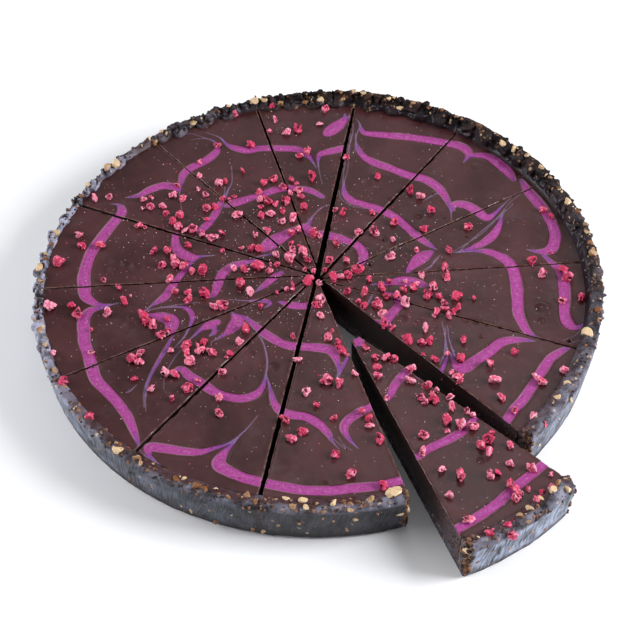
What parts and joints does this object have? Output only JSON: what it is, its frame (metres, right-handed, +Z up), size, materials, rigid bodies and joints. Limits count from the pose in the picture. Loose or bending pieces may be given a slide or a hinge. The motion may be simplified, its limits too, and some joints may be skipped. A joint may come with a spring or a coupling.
{
  "type": "chocolate tart",
  "caption": "Round chocolate tart cut into wedges, a wedge drawn part way out: dark nut crust with a lumpy rim, set chocolate filling with a feathered pink swirl and berry crumbs.",
  "frame": {"origin": "middle of the base's box, on the surface that the tart stands on", "axes": "+Z up, out of the filling; the wedge that is drawn out points along -Y and a little +X"},
  "size_m": [0.2806, 0.3038, 0.0332],
  "materials": {
    "crust": "pressed cocoa and nut crumb, matte, lumpy at the rim and smooth on the outside wall",
    "filling": "set dark chocolate with a satin sheen and a pink feathered swirl, glossy where it is cut",
    "berry": "dried pink-red berry crumbs, porous and matte",
    "nut": "chopped pale nut, matte"
  },
  "bodies": {
    "root": {"crust_01": "crust", "crust_02": "crust", "crust_03": "crust", "crust_04": "crust", "crust_05": "crust", "crust_06": "crust", "crust_07": "crust", "crust_08": "crust", "crust_09": "crust", "crust_10": "crust", "crust_11": "crust", "crust_12": "crust", "crust_13": "crust", "crust_14": "crust", "filling_01": "filling", "filling_02": "filling", "filling_03": "filling", "filling_04": "filling", "filling_05": "filling", "filling_06": "filling", "filling_07": "filling", "filling_08": "filling", "filling_09": "filling", "filling_10": "filling", "filling_11": "filling", "filling_12": "filling", "filling_13": "filling", "filling_14": "filling"}
  },
  "joints": []
}
